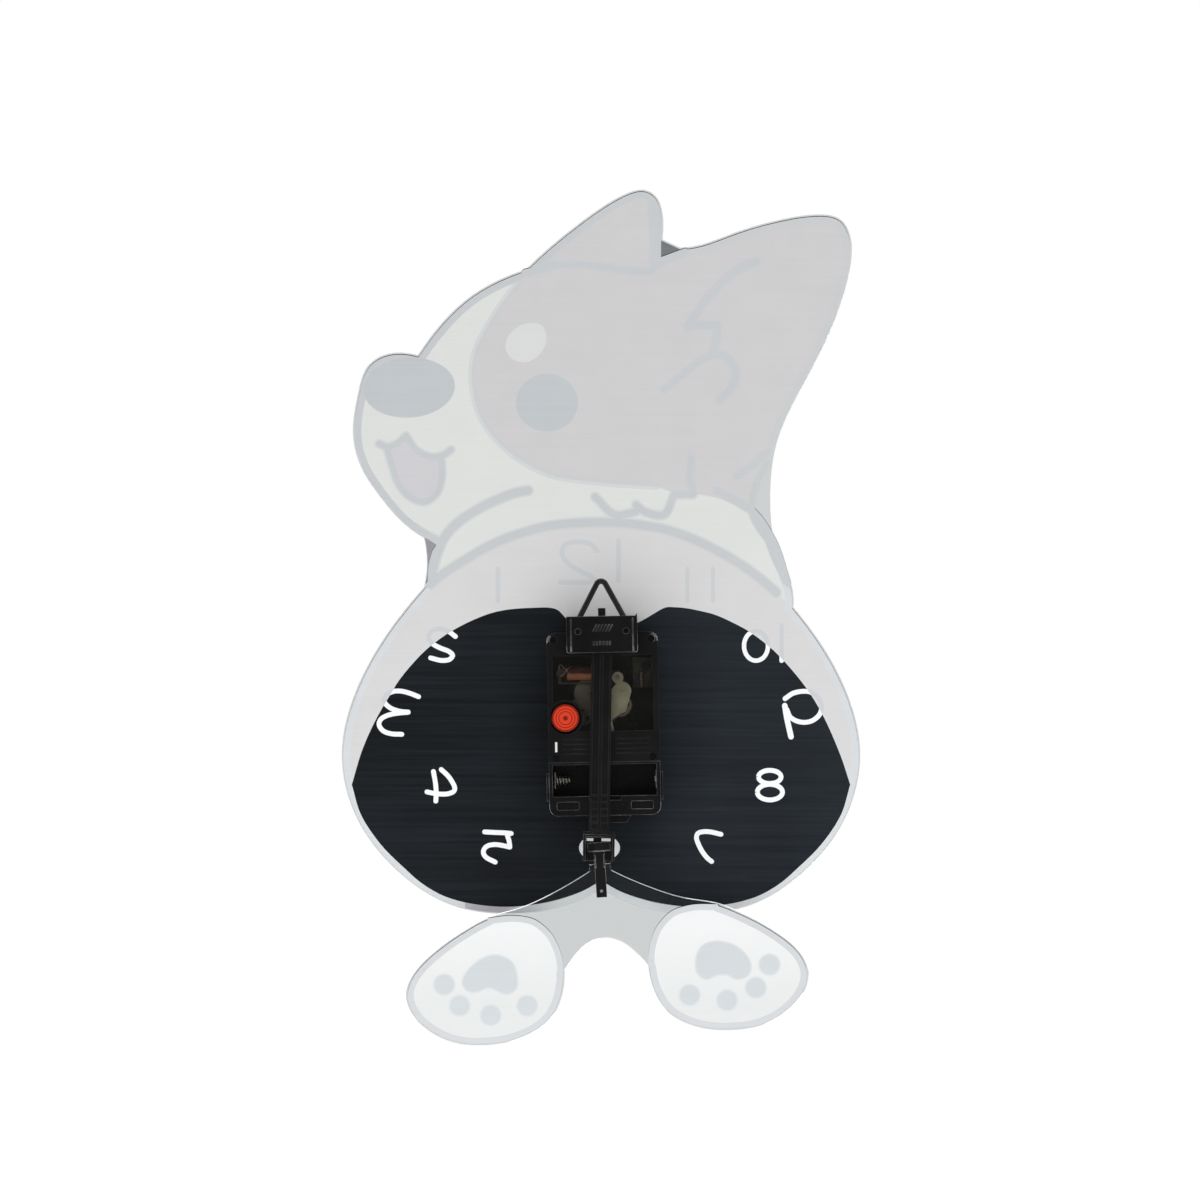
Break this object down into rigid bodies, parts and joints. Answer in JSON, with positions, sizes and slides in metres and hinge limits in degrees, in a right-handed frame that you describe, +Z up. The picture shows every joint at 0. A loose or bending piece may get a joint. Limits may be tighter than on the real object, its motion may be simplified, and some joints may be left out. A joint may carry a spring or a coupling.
{
  "type": "pendulum wall clock",
  "caption": "Animal-shaped printed acrylic wall clock with a quartz movement, open battery bay and hanging feet that swing on a pendulum arm.",
  "frame": {"origin": "inside top of the hanger loop, where the wall nail carries the clock", "axes": "+Z up, +Y towards the wall, dial and hands face -Y, +X to the right seen from the front"},
  "size_m": [0.2592, 0.0339, 0.4273],
  "materials": {
    "printed_acrylic": "clear acrylic sheet, printed on its back face",
    "black_plastic": "moulded, satin",
    "smoked_window": "smoked clear moulding",
    "white_plastic": "moulded acetal",
    "blackened_steel": "blackened",
    "steel": "bright",
    "brass": "turned",
    "rubber": "matt",
    "stator_steel": "annealed lamination",
    "amber_plastic": "moulded",
    "copper_winding": "enamelled copper wire",
    "cream_plastic": "moulded",
    "circuit_board": "phenolic board, dark solder mask",
    "epoxy": "dome of black epoxy",
    "crystal_can": "drawn can",
    "nickel_steel": "nickel plated",
    "magnet": "sintered",
    "grey_acetal": "moulded acetal",
    "black_hand": "matt paint",
    "red_hand": "satin paint",
    "orange_plastic": "moulded"
  },
  "bodies": {
    "clock": {"dial_panel": "printed_acrylic", "movement_case": "black_plastic", "rear_cover": "black_plastic", "window_pane": "smoked_window", "detent_tab": "white_plastic", "hanger_block": "black_plastic", "hanger_loop": "black_plastic", "block_screws": "blackened_steel", "pivot_pin": "steel", "threaded_bushing": "brass", "dial_nut": "brass", "dial_washer": "brass", "case_gasket": "rubber", "motor_stator": "stator_steel", "coil_bobbin": "amber_plastic", "motor_coil": "copper_winding", "train_bridge": "cream_plastic", "bridge_screws": "steel", "cover_screws": "blackened_steel", "circuit_board": "circuit_board", "chip_blob": "epoxy", "quartz_crystal": "crystal_can", "drive_coil": "copper_winding", "drive_coil_bobbin": "amber_plastic", "spring_contact": "nickel_steel", "battery_spring": "nickel_steel", "positive_contact": "nickel_steel"},
    "pendulum": {"pendulum_arm": "black_plastic", "arm_magnet": "magnet", "stirrup": "black_plastic", "hang_pin": "black_plastic"},
    "feet": {"feet_panel": "printed_acrylic", "hang_strip": "black_plastic", "hang_rivet": "steel"},
    "minute_set": {"cannon_pinion": "grey_acetal", "clutch_spring": "nickel_steel", "clutch_collar": "brass", "minute_hand": "black_hand"},
    "centre_wheel": {"minute_wheel": "grey_acetal"},
    "hour_set": {"hour_wheel": "grey_acetal", "hour_hand": "black_hand"},
    "second_set": {"second_wheel": "grey_acetal", "second_pinion": "brass", "second_shaft": "steel", "second_hand": "red_hand"},
    "third_set": {"third_wheel": "grey_acetal", "third_pinion": "grey_acetal"},
    "fourth_set": {"fourth_wheel": "white_plastic", "fourth_pinion": "white_plastic"},
    "rotor": {"rotor_magnet": "magnet", "rotor_pinion": "white_plastic", "rotor_arbor": "steel"},
    "reverse_set": {"reverse_wheel": "grey_acetal", "reverse_pinion": "grey_acetal"},
    "knob_set": {"setting_knob": "orange_plastic", "knob_spindle": "orange_plastic"}
  },
  "joints": [
    {"name": "pendulum_swing", "type": "hinge", "parent": "clock", "child": "pendulum", "pos_m": [-0.00054, 0, -0.02799], "axis": [0, 1, 0], "range_deg": [-6.1, 7.9]},
    {"name": "feet_rock", "type": "hinge", "parent": "pendulum", "child": "feet", "pos_m": [0.0011, 0, -0.131], "axis": [0, 1, 0], "range_deg": [-8, 2]},
    {"name": "minute_turn", "type": "hinge", "parent": "clock", "child": "minute_set", "pos_m": [-0.00119, 0, -0.06199], "axis": [0, 1, 0], "continuous": true},
    {"name": "hour_turn", "type": "hinge", "parent": "clock", "child": "hour_set", "pos_m": [-0.00119, 0, -0.06199], "axis": [0, 1, 0], "continuous": true},
    {"name": "reverse_turn", "type": "hinge", "parent": "clock", "child": "reverse_set", "pos_m": [0.00882, 0, -0.0632], "axis": [0, 1, 0], "continuous": true},
    {"name": "knob_turn", "type": "hinge", "parent": "clock", "child": "knob_set", "pos_m": [0.01772, 0, -0.06695], "axis": [0, 1, 0], "continuous": true},
    {"name": "second_turn", "type": "hinge", "parent": "clock", "child": "second_set", "pos_m": [-0.00119, 0, -0.06199], "axis": [0, 1, 0], "continuous": true},
    {"name": "centre_turn", "type": "hinge", "parent": "clock", "child": "centre_wheel", "pos_m": [-0.00119, 0, -0.06199], "axis": [0, 1, 0], "continuous": true},
    {"name": "third_turn", "type": "hinge", "parent": "clock", "child": "third_set", "pos_m": [0.00507, 0, -0.05481], "axis": [0, 1, 0], "continuous": true},
    {"name": "fourth_turn", "type": "hinge", "parent": "clock", "child": "fourth_set", "pos_m": [-0.00944, 0, -0.06043], "axis": [0, 1, 0], "continuous": true},
    {"name": "rotor_turn", "type": "hinge", "parent": "clock", "child": "rotor", "pos_m": [-0.01053, 0, -0.05331], "axis": [0, 1, 0], "continuous": true}
  ],
  "couplings": [
    {"joint": "hour_turn", "follows": "minute_turn", "ratio": 0.083333},
    {"joint": "reverse_turn", "follows": "minute_turn", "ratio": -0.33333},
    {"joint": "knob_turn", "follows": "minute_turn", "ratio": 1.2},
    {"joint": "fourth_turn", "follows": "second_turn", "ratio": -6},
    {"joint": "rotor_turn", "follows": "second_turn", "ratio": 30},
    {"joint": "third_turn", "follows": "second_turn", "ratio": -0.13333},
    {"joint": "centre_turn", "follows": "second_turn", "ratio": 0.016667}
  ]
}
